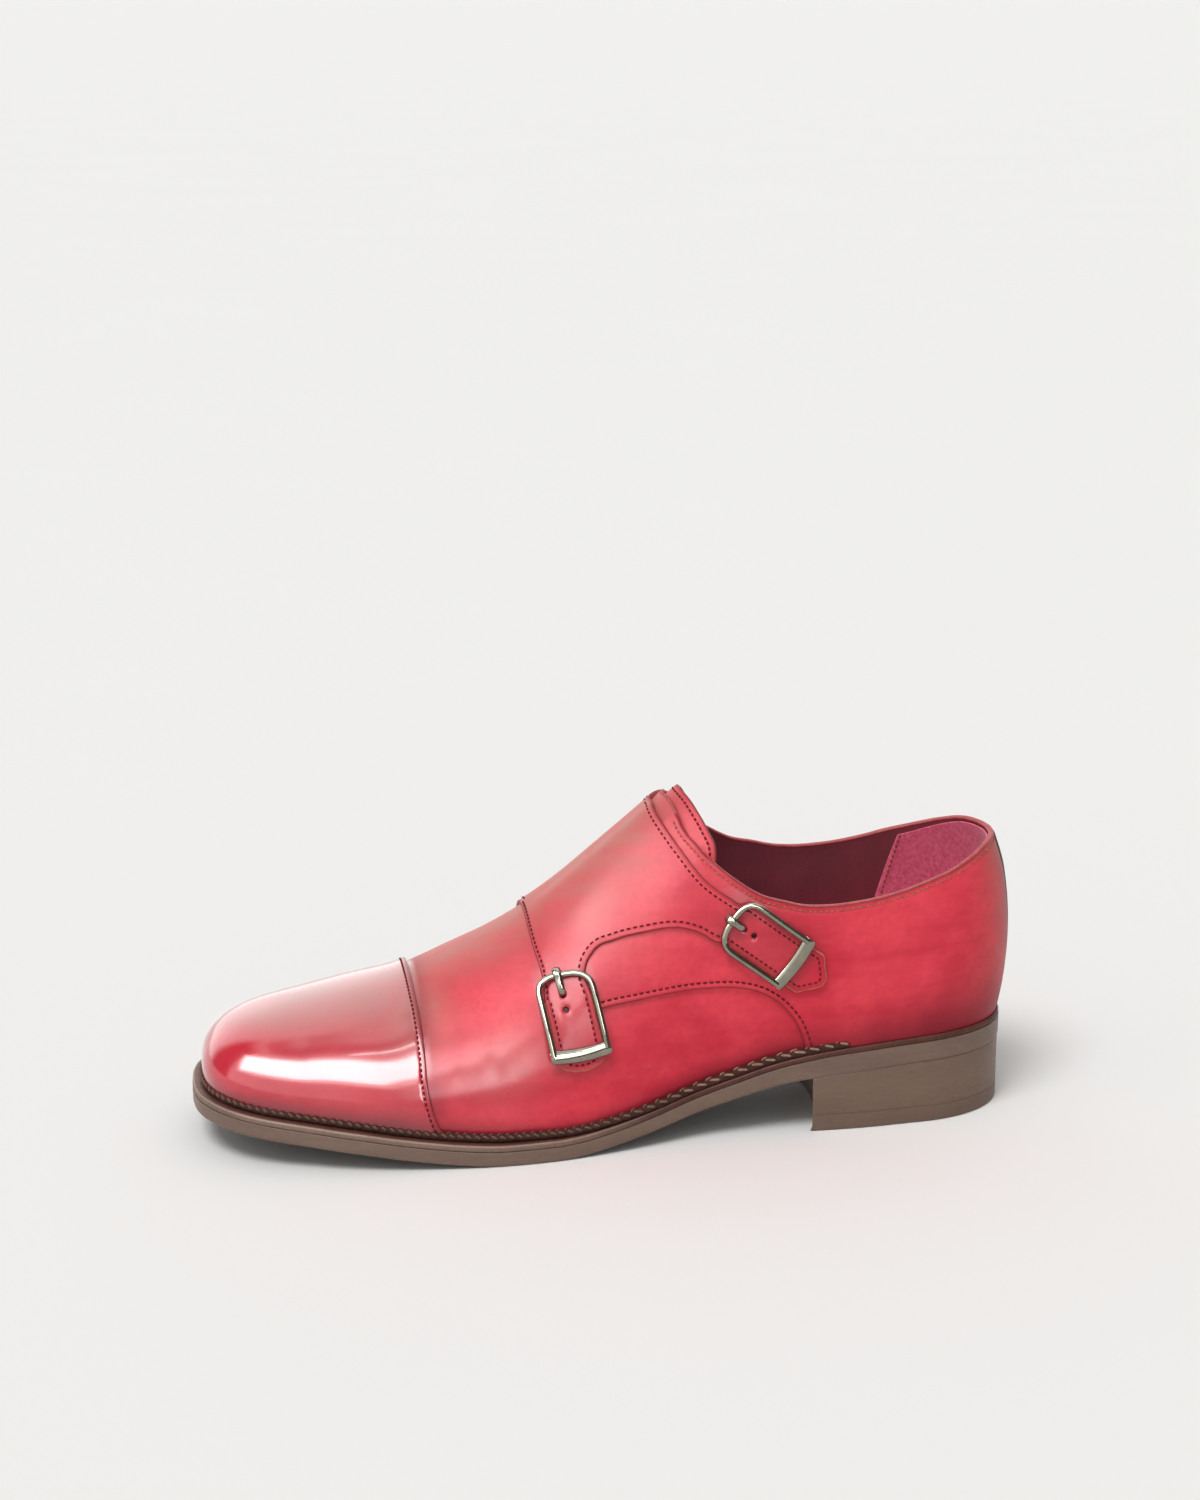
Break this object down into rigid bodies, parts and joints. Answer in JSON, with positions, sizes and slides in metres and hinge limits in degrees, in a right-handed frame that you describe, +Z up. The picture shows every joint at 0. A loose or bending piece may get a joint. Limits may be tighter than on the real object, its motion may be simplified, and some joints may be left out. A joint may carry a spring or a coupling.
{
  "type": "monk strap shoe",
  "caption": "Left men's dress shoe with a toe cap, two buckled straps over the instep, a welted sole and a stacked heel.",
  "frame": {"origin": "on the floor, under the middle of the shoe's box", "axes": "+X from toe to heel, +Y to the inner side of the foot, +Z up"},
  "size_m": [0.3026, 0.103, 0.1223],
  "materials": {
    "leather": "polished, crimson with burgundy shading",
    "cap_leather": "mirror gloss, rose brown over crimson",
    "lining": "matt, dark burgundy",
    "sole": "painted edge, satin taupe",
    "top_piece": "matt taupe",
    "welt": "satin dark brown",
    "buckle": "polished nickel"
  },
  "bodies": {
    "root": {"outsole": "sole", "heel_block": "sole", "heel_top_piece": "top_piece", "welt": "welt", "storm_bead": "welt", "insole": "lining", "upper": "leather", "tongue": "leather", "toe_cap": "cap_leather", "quarter_lateral": "leather", "strap_panel": "leather", "back_strip": "leather", "buckle_front": "buckle", "buckle_rear": "buckle", "prong_front": "buckle", "prong_rear": "buckle"}
  },
  "joints": []
}
